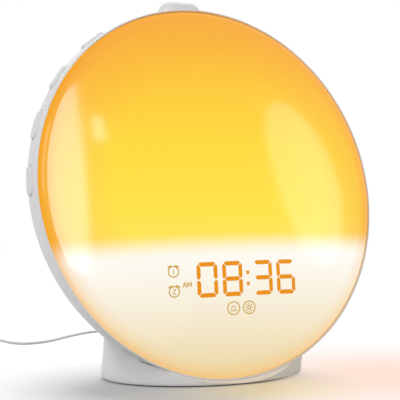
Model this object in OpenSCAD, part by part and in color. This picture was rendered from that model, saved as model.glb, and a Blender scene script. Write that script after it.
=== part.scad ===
// Sunrise alarm clock: a round light that leans back on an oval foot, with a clock display in its
// lower face, keys round its rim and a snooze key on top. Millimetres, +Z up. The origin is the
// centre of the foot on the table, the light faces -Y and +X is on the right of someone facing it.

/* [Housing] */
// Outside radius of the rim round the glowing face
rim_r = 87.5; // [84:0.5:92]
// Gap between the lowest point of the rim and the table
rim_gap = 1.4; // [1.2:0.1:4]
// How far the face's centre stands behind the foot's centre
face_back = -10; // [-14:1:-6]
// Lean of the face, backwards from upright
lean = 13; // [10:0.5:16]
// Angle between the housing's run backwards and the face's own axis
skew = 8.5; // [5:0.5:10]
// Thickness of the housing's wall
wall = 2.2; // [1.8:0.1:2.8]
// Length of the straight side wall behind the rim
side_h = 5; // [4:0.5:8]
// Radius of the shoulder between the side wall and the domed back
shoulder_r = 27; // [20:1:30]
// Angle at which the shoulder meets the domed back
shoulder_a = 40; // [34:1:50]
// Thickness of the lip round the diffuser
lip_t = 0.7; // [0.6:0.1:1.2]

/* [Foot] */
// Width of the foot
foot_w = 97.4; // [90:0.2:104]
// Depth of the foot
foot_d = 72; // [66:1:78]
// Height of the foot's waist, where it is narrowest
waist_h = 18; // [15:1:22]
// How much narrower the waist is than the foot's edge, each side
waist_in = 1.1; // [0.5:0.1:2]
// Height of the foot's lower edge above the table
foot_lift = 1.1; // [1.1:0.1:1.6]
// Thickness of the grip pad under the foot
pad_t = 1; // [0.9:0.1:1.5]
// Inset of the grip pad from the foot's edge
pad_inset = 1.6; // [1.4:0.1:4]
// Thickness of the plate that closes the foot from below
plate_t = 2.2; // [1.6:0.1:3]
// Radius of a base screw's pilot hole
base_screw_r = 1.1; // [0.9:0.1:1.4]

/* [Diffuser] */
// Radius of the diffuser's bulging face
dome_r = 336.5; // [300:0.5:400]
// Radius of the rolled edge of the diffuser
edge_r = 4.1; // [3:0.1:5]
// How far the rolled edge runs down behind the rim's front
edge_sink = 2; // [1.5:0.1:2.5]
// Thickness of the diffuser
dome_t = 2; // [1.6:0.1:2.4]
// Width of the dark seam between diffuser and lip
seam = 0.3; // [0.2:0.05:0.5]

/* [Light] */
// Room between the reflector's mouth and the boards behind the keys
key_room = 3.95; // [3.5:0.05:6]
// Room between the reflector's floor and the back, for the boards and the speaker
back_room = 26.2; // [25.5:0.1:28]
// Radius of the reflector's floor
floor_r = 54; // [50:1:56]
// Radius of the opening in the reflector's floor
floor_hole_r = 42; // [38:1:44]
// Wall of the reflector
bowl_t = 1.2; // [1:0.1:1.6]
// Height of the partition below the face's centre
divider_y = -27; // [-29:0.5:-25]
// Distance from the face's centre line to the board posts
post_off = 33.2; // [32:0.1:35]
// Number of light-emitting diodes in the outer ring
led_ring = 18; // [12:1:24]

/* [Display] */
// Height of a digit
digit_h = 15.6; // [13:0.1:17]
// Width of a digit
digit_w = 10.3; // [9:0.1:11]
// Stroke of a digit's segment
stroke = 1.75; // [1.2:0.05:2.2]
// Pitch between the two digits of a pair
digit_pitch = 12.9; // [12:0.1:14]
// Half the distance between the two pairs of digits
pair_off = 14.55; // [14:0.05:15.5]
// Sideways place of the colon
colon_x = 7.4; // [5:0.1:9]
// Height of the digits' middle below the face's centre
digit_y = -42.7; // [-44:0.1:-41]

/* [Keys] */
// Length of a side key along the rim
key_l = 14; // [12:0.5:16]
// Width of a side key from front to back
key_w = 6; // [5:0.5:7]
// How far a side key stands out of the wall
key_rise = 1.3; // [1:0.1:2]
// Travel of a side key
key_travel = 0.6; // [0.4:0.1:0.8]
// Depth of the side keys' middle behind the rim
key_h = 8; // [7.5:0.5:9]
// Angle from the top of the rim to the first side key
key_first = 35.2; // [32:0.2:40]
// Angle between neighbouring side keys
key_step = 17; // [15:0.5:20]
// Clearance round a key in its window
key_gap = 0.3; // [0.2:0.05:0.4]
// Length of the snooze key across the clock
snooze_l = 21.5; // [18:0.5:26]
// Width of the snooze key from front to back
snooze_w = 13; // [11:0.5:15]
// How far the snooze key stands out of the housing
snooze_rise = 7.5; // [5:0.5:9]
// Travel of the snooze key
snooze_travel = 1; // [0.6:0.1:1.4]
// Depth of the snooze key's middle behind the rim
snooze_h = 14; // [12:0.5:16]

/* [Speaker] */
// Radius of the speaker's frame
speaker_r = 20; // [18:0.5:22]
// Radius of the grille in the back
grille_r = 17.3; // [15:0.1:17.5]
// Pitch of the grille's holes
grille_pitch = 4.4; // [4:0.1:5]
// Radius of a grille hole
grille_hole_r = 1.1; // [0.8:0.1:1.4]

/* [Sockets and aerial] */
// Sideways place of the power socket in the foot's back
jack_x = -9; // [-11:0.5:-8]
// Radius of the power socket's mouth
jack_r = 2.6; // [2.2:0.1:2.8]
// Sideways place of the charging socket in the foot's back
usb_x = 6; // [5:0.5:9]
// Width of the charging socket's shell
usb_w = 13.2; // [13:0.1:13.6]
// Height of the charging socket's shell
usb_h = 5.8; // [5.6:0.1:6]
// Length of the charging socket
usb_l = 13; // [11:0.5:14]
// Thickness of a circuit board
board_t = 1.6; // [1:0.1:2]
// Diameter of the aerial wire
wire_d = 1.4; // [1.2:0.1:1.6]
// Turn of the aerial's outlet round the foot, away from straight back
outlet_a = 17.5; // [10:0.5:25]

/* [Hidden] */
$fn = 96;
fit = 0.15; // small clearance where one fixed piece lies against another
small = 0.05; // clearance where two flat faces meet
big = 200; // longer than the clock, for cutting tools

foot_a = foot_w / foot_d; // width of the foot's outlines over their depth
foot_r = foot_d / 2;
plate_z = pad_t + small;
plate_top = plate_z + plate_t;
face_z = rim_gap + rim_r * cos(lean);

// The shoulder is an arc about shoulder_c, and the domed back is a sphere that continues it.
shoulder_c = rim_r - shoulder_r;
back_r = (shoulder_c + shoulder_r * cos(shoulder_a)) / cos(shoulder_a);
back_c = side_h + shoulder_r * sin(shoulder_a) - back_r * sin(shoulder_a);
depth = back_c + back_r;

// The diffuser's face is a sphere about dome_c, and its rolled edge is tangent to that sphere.
diffuser_r = rim_r - lip_t - seam;
roll_off = diffuser_r - edge_r;
dome_c = -edge_sink - sqrt(pow(dome_r - edge_r, 2) - pow(roll_off, 2));
skirt_h = 4;
seat_h = skirt_h + bowl_t + 2 * small; // ledge that the reflector's flange rests on

flange_r = rim_r - lip_t - 2 * fit;
flange_z = -skirt_h - small;
bowl_h = depth - back_room;
floor_z = -bowl_h;
led_board_z = floor_z - bowl_t - small;
main_board_gap = 3.2;
main_board_z = led_board_z - board_t - main_board_gap;
board_back = main_board_z - board_t;
main_w = 56;
main_l = 62;
main_y = -6;

digit_xs = [for (side = [-1, 1]) for (place = [-1, 1]) colon_x + side * pair_off + place * digit_pitch / 2];
shown = ["abcdef", "abcdefg", "abcdg", "acdefg"]; // segments lit in each digit: 08:36
module_w = 70;
module_h = 27;
guide_l = 1.08; // shortest light guide in front of the display module
module_z = face_at(norm([module_w / 2, digit_y - 1.6 - module_h / 2])) - dome_t - fit - guide_l;
module_t = 7;
icon_r = 2.9;
round_icons = [[-0.8, -55.9], [7.4, -55.9]];
alarm_icons = [[-30, -38.2], [-30, -47]];
meridiem = [-23.7, -44.4];

key_wall_r = shoulder_c + sqrt(pow(shoulder_r, 2) - pow(key_h - side_h, 2));
key_rows = [for (side = [0, 1]) [for (i = [0:3])
    side == 0 ? 90 + key_first + i * key_step : 90 - key_first - i * key_step]];
key_flange_top = key_wall_r - 3.53;
key_flange_t = 0.9;
switch_h = 3.5;
switch_top = key_flange_top - key_flange_t - key_travel - 0.35;
key_board_r = switch_top - switch_h - fit;
key_board_t = 0.8;
rib_r = key_board_r - key_board_t - small; // outer radius of the rib that carries the key boards
bowl_r = rib_r - key_room; // inner radius of the reflector's mouth
snooze_wall_r = shoulder_c + sqrt(pow(shoulder_r, 2) - pow(snooze_h - side_h, 2));
snooze_flange_top = snooze_wall_r - 6.9;
snooze_flange_t = 1.2;
snooze_board_z = snooze_flange_top - snooze_flange_t - snooze_travel - 0.35 - switch_h - fit;

speaker_y = (depth - 3.9) * tan(skew);
grille_t = 2;
grille_z = -back_at(grille_r, 0);
speaker_seat_z = -back_at(speaker_r, wall) + 0.8;

port_z = plate_top + 1.2;
port_top = port_z + board_t + small;
jack_z = port_top + 3.1;
port_y0 = 14;
port_y1 = 31;
socket_y = 33.4; // mouths of the sockets, just inside the foot's back
outlet_z = 9;
gland_r = 2;
gland_out = 2.6;
gland_in = wall + 1.9; // how far the gland reaches into the foot, with its collar
outlet_n = [-sin(outlet_a), cos(outlet_a)];
outlet_p = [-19, 32.7]; // where the outlet's axis crosses the foot's back

coil_c = [-60, 166];
coil_r = 8.4; // middle of the coil's turns
coil_layers = 3;
wire_lie = wire_d / 2 + small;
// Middle of the aerial wire from its gland to its coil, with the height last.
wire_route = concat([for (t = [gland_out, gland_out + 4.4]) [for (i = [0:1]) outlet_p[i] + t * outlet_n[i],
    outlet_z]],
    [[-22, 44, 7.4], [-21.7, 50, 4.4], [-20, 57, 1.8], [-16.5, 65, 0.75], [-10, 78, 0.75], [-2, 92, 0.75],
    [7, 106, 0.75], [18, 120, 0.75], [29.5, 134, 0.75], [37.5, 147, 0.75], [40, 159, 0.75], [37, 168, 0.75],
    [31, 172.5, 0.75], [23.5, 172, 0.75], [14, 168, 0.75], [0, 158, 0.75], [-14, 146.5, 0.75], [-25, 140.5,
        0.75],
    [-33.5, 140.5, 0.75], [-38.5, 147, 0.75], [-39.5, 156, 0.75], [-42, 168, 0.75], [-48, 174.8, 0.75],
        [-60, 175.8, 0.75]]);
// Internal leads, through points in the frame of the face.
function face_point(p) = [p[0], face_back + p[1] * sin(lean) - p[2] * cos(lean), face_z + p[1] * cos(lean)
    + p[2] * sin(lean)];
power_route = concat([[-3, 18, port_top + small], [-3, 18.2, 12], [-3, 20, 20], [-3, 21.6, 27]],
    [for (p = [[-2.5, -45.5, board_back - 1.54], [-0.5, -41.5, board_back - 1.74], [2, -38.6,
        board_back - 1.74], [3.7, -36.3, board_back - 1.64]])
        face_point(p)]);
speaker_route = [for (p = [[10.6, -2.2, speaker_seat_z + 5.1], [11.3, -3.4, speaker_seat_z + 7.2], [12.6,
    -5.6, board_back - 3.74],
    [14.6, -7.3, board_back - 1.54], [17.9, -8, board_back - 0.84]]) face_point(p)];

// The frame of the face: x to the right, y up the face, z out of it, from the centre of the rim.
module on_face() { translate([0, face_back, face_z]) rotate([90 - lean, 0, 0]) children(); }

// The middle of the housing at a depth behind the rim, in the frame of the face.
module at_depth(h) { translate([0, h * tan(skew), -h]) children(); }

// Slides what is drawn up the face as it runs backwards, as the housing does.
module skewed() {
    multmatrix([[1, 0, 0, 0], [0, 1, -tan(skew), 0], [0, 0, 1, 0], [0, 0, 0, 1]]) children();
}

// A point on the rim's wall at an angle, with x outwards, y back along the rim and z forwards.
module on_rim(angle, h) { on_face() at_depth(h) rotate([0, 0, angle]) children(); }

// Depth of the domed back at a distance from its middle, with the dome drawn in by inset.
function back_at(r, inset) = back_c + sqrt(pow(back_r - inset, 2) - pow(r, 2));

function arc(c, r, a0, a1, n) = [for (i = [0:n]) let (a = a0 + (a1 - a0) * i / n) [c[0] + r * cos(a),
    c[1] + r * sin(a)]];

// Inner radius of the reflector's sloping wall at a depth behind the rim.
function bowl_wall(h) = floor_r + (bowl_r - floor_r) * (bowl_h - h) / (bowl_h - skirt_h);

// Height of the diffuser's outer face at a distance from its axis.
function face_at(r) = dome_c + sqrt(pow(dome_r, 2) - pow(r, 2));

// The housing's round body, drawn in by inset and reaching front past the rim's plane.
module round_body(inset, front) {
    shoulder = arc([shoulder_c, -side_h], shoulder_r - inset, 0, -shoulder_a, 4);
    back = arc([0, -back_c], back_r - inset, -shoulder_a, -90, 7);
    skewed() rotate([0, 0, -20]) rotate_extrude()
        polygon(concat([[0, front], [rim_r - inset, front]], shoulder, [for (i = [1:7]) back[i]]));
}

// The foot's flaring body, drawn in by inset and starting at height z0.
module foot_body(inset, z0) {
    r = foot_r - inset;
    scale([foot_a, 1, 1]) rotate_extrude()
        polygon([[0, z0], [r - 0.9, z0], [r - 0.3, z0 + 0.7], [r, z0 + 2.4], [r - 0.4, z0 + 7],
            [r - waist_in + 0.1, waist_h - 5], [r - waist_in, waist_h], [r - 0.7, waist_h + 6],
            [r + 0.6, waist_h + 12], [r + 2.4, waist_h + 18], [r + 4.8, waist_h + 24],
            [r + 4.8, waist_h + 46], [0, waist_h + 46]]);
}

// An oval key cap along y with a rolled upper edge, standing on z = 0.
module key_cap(l, w, t, roll) {
    profile = concat([[0, 0], [w / 2, 0]], arc([w / 2 - roll, t - roll], roll, 0, 90, 5), [[0, t]]);
    for (s = [-1, 1]) translate([0, s * (l - w) / 2, 0]) rotate_extrude() polygon(profile);
    rotate([90, 0, 0]) linear_extrude(l - w, center = true)
        polygon(concat([for (p = profile) p], [for (i = [len(profile) - 1:-1:1]) [-profile[i][0],
            profile[i][1]]]));
}

// Turns a piece that stands on z so that it stands out along x.
module outwards() { rotate([0, 90, 0]) children(); }

// A round bar swept through points, with rings square to its path.
function unit(v) = v / norm(v);
function spline(p, i, t) = let (a = p[max(i - 1, 0)], b = p[i], c = p[i + 1], d = p[min(i + 2, len(p) - 1)])
    0.5 * ((2 * b) + (c - a) * t + (2 * a - 5 * b + 4 * c - d) * t * t + (3 * b - a - 3 * c + d) * t * t * t);
function smooth(p, n) = concat([for (i = [0:len(p) - 2]) for (k = [0:n - 1]) spline(p, i, k / n)], [p[len(p)
    - 1]]);
module sweep(path, r, side, sides = 8) {
    n = len(path);
    rings = [for (i = [0:n - 1]) let (t = unit(path[min(i + 1, n - 1)] - path[max(i - 1, 0)]),
        u = unit(cross(t, side)), v = cross(u, t))
        for (k = [0:sides - 1]) path[i] + r * (cos(360 * k / sides) * u + sin(360 * k / sides) * v)];
    polyhedron(rings, concat([[for (k = [0:sides - 1]) k]],
        [for (i = [0:n - 2]) for (k = [0:sides - 1])
            let (a = i * sides + k, b = i * sides + (k + 1) % sides) [a, a + sides, b + sides, b]],
        [[for (k = [sides - 1:-1:0]) (n - 1) * sides + k]]));
}

/* Housing */

module rear_housing() color("gainsboro") {
    difference() {
        union() {
            on_face() round_body(0, 0);
            difference() {
                foot_body(0, foot_lift);
                on_face() cylinder(r = rim_r, h = big);
            }
        }
        on_face() round_body(wall, 1);
        // The foot's hollow opens into the round body, and leaves the rim's wall whole in front.
        difference() {
            foot_body(wall, -small);
            front_floor();
        }
        on_face() translate([0, 0, -seat_h]) cylinder(r = rim_r - lip_t, h = seat_h + 1);
        for (row = key_rows) for (a = row)
            on_rim(a, key_h) translate([rim_r - 9, 0, 0]) window(key_l, key_w);
        on_rim(90, snooze_h) translate([rim_r - 12, 0, 0]) window(snooze_l, snooze_w);
        on_face() translate([0, speaker_y, -depth - 1]) cylinder(r = grille_r + small, h = 12);
        translate([usb_x - usb_w / 2 - fit, socket_y - 6, port_top - fit])
            cube([usb_w + 2 * fit, 20, usb_h + 2 * fit]);
        translate([jack_x, socket_y - 6, jack_z]) rotate([-90, 0, 0]) cylinder(r = jack_r + 0.4 + fit,
            h = 20);
        at_outlet() translate([0, 0, -8]) cylinder(r = gland_r + fit, h = 20);
    }
    for (p = base_posts) translate([p[0], p[1], plate_top + small]) difference() {
        cylinder(r = 3.4, h = 12);
        translate([0, 0, -1]) cylinder(r = base_screw_r, h = 10);
    }
}
base_posts = [[-42.2, 6], [42.2, 6], [-25.2, 25.5], [25.2, 25.5]];

// A key's window, cut outwards along x.
module window(l, w) {
    translate([0, -l / 2 - key_gap, -w / 2 - key_gap]) cube([16, l + 2 * key_gap, w + 2 * key_gap]);
}

// The part of the foot under the front of the round body, which stays closed below.
module front_floor() intersection() {
    on_face() translate([0, 0, -8]) cylinder(r = rim_r + wall, h = big);
    translate([-big / 2, -big / 2, plate_z]) cube(big);
}

module front_diffuser() color("moccasin") on_face() diffuser_body(dome_t);

// The diffuser with a given wall, or its whole bulk where the wall is 0.
module diffuser_body(t) {
    tangent = asin(roll_off / (dome_r - edge_r));
    outer = concat(arc([0, dome_c], dome_r, 90, 90 - tangent, 12), arc([roll_off, -edge_sink], edge_r,
        90 - tangent, 0, 6));
    inner = concat(arc([roll_off, -edge_sink], edge_r - t, 0, 90 - tangent, 4), arc([0, dome_c], dome_r - t,
        90 - tangent, 90, 12));
    rotate_extrude() polygon(t == 0
        ? concat(outer, [[diffuser_r, -skirt_h], [0, -skirt_h]])
        : concat(outer, [[diffuser_r, -skirt_h], [diffuser_r - t, -skirt_h]], inner));
}

module seam_gasket() color("dimgray") on_face() translate([0, 0, -skirt_h]) difference() {
    cylinder(r = rim_r - lip_t - small, h = skirt_h - edge_sink);
    translate([0, 0, -1]) cylinder(r = diffuser_r + small, h = skirt_h + 2);
}

/* Light */

module reflector_bowl() color("white") difference() {
    union() {
        on_face() rotate_extrude()
            polygon([[bowl_r, flange_z], [flange_r, flange_z], [flange_r, flange_z - bowl_t],
                [bowl_r + bowl_t, flange_z - bowl_t],
                [floor_r + bowl_t, floor_z - bowl_t], [floor_hole_r, floor_z - bowl_t], [floor_hole_r,
                    floor_z], [floor_r, floor_z]]);
        on_face() at_depth(key_h) translate([0, 0, -key_w / 2 + 0.4]) difference() {
            cylinder(r = rib_r, h = key_h + flange_z + key_w / 2 - 1);
            translate([0, 0, -1]) cylinder(r = rib_r - 1, h = key_h + key_w);
        }
        on_face() for (p = board_posts) translate([p[0], p[1], floor_z - bowl_t / 2])
            cylinder(r = 2, h = display_back - small - floor_z + bowl_t / 2);
        on_face() for (p = corner_posts) translate([p[0], p[1], floor_z - bowl_t / 2]) cylinder(r = 2.4,
            h = 4.6);
        on_rim(90, snooze_h) for (s = [-1, 1]) translate([snooze_post_r, s * snooze_post_x, 0]) outwards()
            cylinder(r = 2.2, h = snooze_board_z - board_t - small - snooze_post_r);
    }
    on_face() for (i = [0, 1]) translate([board_posts[i][0], board_posts[i][1], display_back - 8])
        cylinder(r = 1, h = 9);
    on_face() for (p = corner_posts) translate([p[0], p[1], floor_z - bowl_t - 1]) cylinder(r = 1, h = 4.6);
    on_rim(90, snooze_h) for (s = [-1, 1]) translate([snooze_board_z - board_t - 5, s * snooze_post_x, 0])
        outwards()
        cylinder(r = 0.9, h = 6);
    // Notches in the flange for the side keys.
    for (row = key_rows) for (a = row) on_rim(a, key_h) translate([rib_r + 2, -key_l / 2 - 1.5, -5])
        cube([12, key_l + 3, 12]);
}
display_back = module_z - module_t - small - board_t;
board_posts = [[-38.5, -34], [38.5, -34], [-18, -48.4], [18, -48.4]];
corner_posts = [for (x = [-1, 1]) for (y = [-1, 1]) [x * post_off, y * post_off]];
snooze_post_r = bowl_wall(snooze_h) - 3;
snooze_post_x = 14.5;

// Stands on its edge across the bowl, and keeps the sunrise light off the display below it.
module light_divider() color("white") on_face() intersection() {
    translate([-rim_r, divider_y, floor_z]) cube([2 * rim_r, 1.2, bowl_h + 20]);
    rotate_extrude() polygon(concat([[0, floor_z + 2], [floor_r - 0.2, floor_z + 2], [bowl_r - 1.5,
        flange_z]],
        arc([0, dome_c], dome_r - dome_t - 0.3, 90 - asin((bowl_r - 1.5) / (dome_r - dome_t - 0.3)), 90, 8)));
}

module led_board() color("white") on_face() translate([0, 0, led_board_z - board_t]) difference() {
    cylinder(r = floor_r - 1, h = board_t);
    for (p = corner_posts) translate([p[0], p[1], -1]) cylinder(r = 1.3, h = board_t + 2);
}

module sunrise_leds() color("khaki") on_face() {
    for (i = [0:led_ring - 1]) rotate([0, 0, (i + 0.5) * 360 / led_ring]) led_at(floor_hole_r - 8);
    for (i = [0:led_ring / 2 - 1]) rotate([0, 0, i * 720 / led_ring]) led_at(floor_hole_r - 23);
    led_at(0);
}
module led_at(r) { translate([r - 1.75, -1.75, led_board_z + small]) cube([3.5, 3.5, 1.4]); }

module led_board_screws() color("silver") on_face() for (p = corner_posts)
    translate([p[0], p[1], led_board_z - board_t - small]) rotate([180, 0, 0]) screw(0.9, 5, 2);

// A pan-head screw with its shank below z = 0.
module screw(r, l, head_r) {
    difference() {
        cylinder(r1 = head_r, r2 = head_r - 0.4, h = 1.2);
        for (a = [0, 90]) rotate([0, 0, a]) translate([-head_r * 0.6, -0.25, 0.7]) cube([head_r * 1.2, 0.5,
            1]);
    }
    translate([0, 0, -l]) cylinder(r = r, h = l + 0.1);
}

/* Display */

// The segments of a digit, by letter from the top round clockwise with g in the middle.
function segment(letter) = let (w = digit_w / 2, h = digit_h / 2, t = stroke, c = 1.3, g = 0.25, k = 0.12,
        top = [[-w + c + k, h], [w - c - k, h], [w - c / 2 - k, h - c / 2 + k], [w - t - g, h - t],
            [-w + t + g, h - t],
            [-w + c / 2 + k, h - c / 2 + k]],
        upper = [[w, h - c - k], [w, 0.9], [w - 0.6, g], [w - t / 2, g], [w - t, t / 2 + g], [w - t,
            h - t - g],
            [w - c / 2 + k, h - c / 2 - k]],
        middle = [[-w + t / 2 + g, 0], [-w + t + g, t / 2], [w - t - g, t / 2], [w - t / 2 - g, 0],
            [w - t - g, -t / 2],
            [-w + t + g, -t / 2]])
    letter == "a" ? top : letter == "d" ? [for (p = top) [p[0], -p[1]]] : letter == "g" ? middle
    : [for (p = upper) [letter == "b" || letter == "c" ? p[0] : -p[0],
        letter == "b" || letter == "f" ? p[1] : -p[1]]];

module display_module() color("ivory") on_face()
    translate([-module_w / 2, digit_y - 1.6 - module_h / 2, module_z - module_t]) cube([module_w, module_h,
        module_t]);

module time_digits() color("orange") on_face() behind_face() {
    for (i = [0:3]) for (s = shown[i]) translate([digit_xs[i], digit_y]) polygon(segment(s));
    for (s = [-1, 1]) translate([colon_x - 0.8, digit_y - 0.8 + s * 2.5]) square(1.6);
}

module indicator_icons() color("darkorange") on_face() behind_face() {
    for (p = round_icons) translate(p) icon_ring(icon_r);
    for (p = alarm_icons) translate(p) icon_ring(icon_r - 0.4);
    translate([meridiem[0] - 2.1, meridiem[1] - 1.2]) square([4.2, 2.4]);
}
module icon_ring(r) difference() { circle(r, $fn = 48); circle(r - 0.9, $fn = 48); }

// Light guides from the display module to the inside of the diffuser.
module behind_face() intersection() {
    translate([0, 0, module_z + small]) linear_extrude(12) children();
    translate([0, 0, -dome_t - fit]) diffuser_body(0);
}

module display_board() color("seagreen") on_face() difference() {
    translate([-module_w / 2 - 6, digit_y - 1.6 - module_h / 2, display_back]) cube([module_w + 12,
        module_h + 1, board_t]);
    for (i = [0, 1]) translate([board_posts[i][0], board_posts[i][1], display_back - 1]) cylinder(r = 1.2,
        h = board_t + 2);
}
module display_screws() color("silver") on_face() for (i = [0, 1])
    translate([board_posts[i][0], board_posts[i][1], display_back + board_t + small]) screw(0.9, 7, 2);

/* Main board and speaker */

module main_board() color("seagreen") on_face() translate([-main_w / 2, main_y - main_l / 2,
    main_board_z - board_t]) difference() {
    cube([main_w, main_l, board_t]);
    for (p = spacer_places) translate([p[0] + main_w / 2, p[1] - main_y + main_l / 2, -1]) cylinder(r = 1,
        h = board_t + 2);
}
spacer_places = [for (x = [-1, 1]) for (y = [-1, 1]) [x * (main_w / 2 - 4), main_y + y * (main_l / 2 - 4)]];

module main_board_spacers() color("gold") on_face() for (p = spacer_places)
    translate([p[0], p[1], main_board_z + small]) difference() {
        cylinder(r = 2.2, h = main_board_gap - 2 * small);
        translate([0, 0, -1]) cylinder(r = 0.9, h = main_board_gap);
    }
module main_board_screws() color("silver") on_face() for (p = spacer_places)
    translate([p[0], p[1], main_board_z - board_t - small]) rotate([180, 0, 0]) screw(0.8, board_t + 2, 1.9);

module main_board_chips() color("black") on_face() translate([0, 0, main_board_z - board_t - small]) {
    for (c = [[13, -21, 12, 12, 1.6], [4, -34, 8, 3, 3], [-20, 8, 7, 5, 1.5], [20, -8, 4, 8, 1.4], [-21, -2,
        5, 4, 1.4]])
        translate([c[0] - c[2] / 2, c[1] - c[3] / 2, -c[4]]) cube([c[2], c[3], c[4]]);
    for (y = [5, 12]) translate([24, y, -4.5]) cylinder(r = 2.5, h = 4.5);
}

cell_r = 10;
cell_at = [-13, -22];
module cell_holder() color("black") on_face() translate([cell_at[0], cell_at[1],
    main_board_z - board_t - small - 4.2]) difference() {
    cylinder(r = cell_r + 1.4, h = 4.2);
    translate([0, 0, -1]) cylinder(r = cell_r + fit, h = 4.4);
    translate([0, -cell_r - 3, -1]) cube([cell_r + 3, 2 * cell_r + 6, 2.2]);
}
module coin_cell() color("silver") on_face() translate([cell_at[0], cell_at[1],
    main_board_z - board_t - small - 4.1])
    cylinder(r = cell_r, h = 3.2);

module on_speaker() { on_face() translate([0, speaker_y, speaker_seat_z]) children(); }

module speaker_frame() color("dimgray") on_speaker() rotate_extrude()
    polygon([[17.3, 0], [speaker_r, 0], [speaker_r, 1.1], [18.2, 1.1], [11, 7.2], [11, 8], [6.2, 8], [6.2,
        7.2], [10.2, 7.2],
        [17.3, 1]]);
module speaker_magnet() color("silver") on_speaker() translate([0, 0, 8 + small]) cylinder(r = 9.5, h = 3.8);
module speaker_cone() color("black") on_speaker() rotate_extrude()
    polygon([[17.25, 0.1], [16.4, -0.2], [15.6, 0.2], [6, 5], [4, 4.2], [0, 3.6], [0, 4.1], [4, 4.8], [6,
        5.6], [15.8, 0.8],
        [17.25, 0.7]]);
module speaker_gasket() color("black") on_face() translate([0, speaker_y, 0]) rotate_extrude()
    polygon([[17.7, -back_at(17.7, wall) + 2 * fit], [speaker_r - 0.2, -back_at(speaker_r - 0.2, wall)
        + 2 * fit],
        [speaker_r - 0.2, speaker_seat_z - small], [17.7, speaker_seat_z - small]]);
module speaker_grille() color("gainsboro") on_face() translate([0, speaker_y, grille_z]) difference() {
    cylinder(r = grille_r, h = grille_t);
    for (ring = [0:3]) for (i = [0:max(6 * ring, 1) - 1]) rotate([0, 0, 60 * i / max(ring, 1)])
        translate([ring * grille_pitch, 0, -1]) cylinder(r = grille_hole_r, h = grille_t + 2, $fn = 24);
}

/* Keys */

// A side key with the flange that keeps it in its window and the stem that meets its switch.
module side_key(angle) color("whitesmoke") on_rim(angle, key_h) {
    translate([key_flange_top - small, 0, 0]) outwards() key_cap(key_l, key_w,
        key_wall_r + key_rise - key_flange_top + small, 1.2);
    translate([key_flange_top - key_flange_t, -key_l / 2 - 0.8, -key_w / 2 - 0.8])
        cube([key_flange_t, key_l + 1.6, key_w + 1.6]);
}
module left_key_1() side_key(key_rows[0][0]);
module left_key_2() side_key(key_rows[0][1]);
module left_key_3() side_key(key_rows[0][2]);
module left_key_4() side_key(key_rows[0][3]);
module right_key_1() side_key(key_rows[1][0]);
module right_key_2() side_key(key_rows[1][1]);
module right_key_3() side_key(key_rows[1][2]);
module right_key_4() side_key(key_rows[1][3]);

module snooze_key() color("whitesmoke") on_rim(90, snooze_h) {
    translate([snooze_flange_top - small, 0, 0]) outwards()
        key_cap(snooze_l, snooze_w, snooze_wall_r + snooze_rise - snooze_flange_top + small, 4);
    translate([snooze_flange_top - snooze_flange_t, -snooze_l / 2 - 1, -snooze_w / 2 - 0.8])
        cube([snooze_flange_t, snooze_l + 2, snooze_w + 2.3]);
}

// A flexible board bent round the rim behind a row of keys.
module key_board(row) on_face() at_depth(key_h) rotate([0, 0, min(row) - 6]) translate([0, 0, -2.5])
    rotate_extrude(angle = max(row) - min(row) + 12)
        translate([key_board_r - key_board_t, 0]) square([key_board_t, 5]);
module left_key_board() color("peru") key_board(key_rows[0]);
module right_key_board() color("peru") key_board(key_rows[1]);

module key_switch() {
    translate([-3, -3, 0]) cube([6, 6, switch_h - 1]);
    cylinder(r = 1.6, h = switch_h);
}
module key_switches(row) for (a = row) on_rim(a, key_h) translate([key_board_r + fit, 0, 0]) outwards()
    intersection() { key_switch(); translate([-2.2, -3, 0]) cube([4.4, 6, switch_h]); }
module left_key_switches() color("black") key_switches(key_rows[0]);
module right_key_switches() color("black") key_switches(key_rows[1]);

module snooze_board() color("seagreen") on_rim(90, snooze_h) translate([snooze_board_z - board_t, 0, 0])
    outwards() difference() {
    translate([-4, -snooze_post_x - 2.5, 0]) cube([8.5, 2 * snooze_post_x + 5, board_t]);
    for (s = [-1, 1]) translate([0, s * snooze_post_x, -1]) cylinder(r = 1.1, h = board_t + 2);
}
module snooze_board_screws() color("silver") on_rim(90, snooze_h) for (s = [-1, 1])
    translate([snooze_board_z + small, s * snooze_post_x, 0]) outwards() screw(0.8, 5, 1.8);
module snooze_switch() color("black") on_rim(90, snooze_h) translate([snooze_board_z + small, 0, 0])
    outwards() key_switch();

/* Foot */

module foot_oval(r, z, t) { translate([0, 0, z]) scale([foot_a, 1, 1]) cylinder(r = r, h = t); }

module base_plate() color("gainsboro") difference() {
    union() {
        difference() {
            foot_oval(foot_r - wall - 2 * fit - 0.4, plate_z, plate_t);
            on_face() translate([0, 0, -8 - fit]) cylinder(r = rim_r + wall + fit, h = big);
        }
        for (p = port_posts) translate([p[0], p[1], plate_z + 0.6]) cylinder(r = 2.4,
            h = port_z - small - plate_z - 0.6);
    }
    for (p = base_posts) translate([p[0], p[1], 0]) {
        cylinder(r = base_screw_r + fit, h = 9);
        cylinder(r = 2.7, h = plate_z + 1.3);
    }
    for (i = [0, 1]) translate([port_posts[i][0], port_posts[i][1], plate_z - 1]) cylinder(r = 0.95, h = 9);
}
module base_screws() color("silver") for (p = base_posts) translate([p[0], p[1], plate_z + 1.3 - small])
    rotate([180, 0, 0])
    screw(base_screw_r - fit, 8, 2.3);

module grip_pad() color("dimgray") difference() {
    foot_oval(foot_r - pad_inset, -pad_t, 2 * pad_t);
    translate([-big / 2, -big / 2, -big]) cube(big);
    for (p = base_posts) translate([p[0], p[1], -1]) cylinder(r = 2.7, h = 4);
}

// The frame of the aerial's outlet: z straight out of the foot's back.
module at_outlet() { translate([outlet_p[0], outlet_p[1], outlet_z]) rotate([-90, 0, outlet_a]) children(); }

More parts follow.
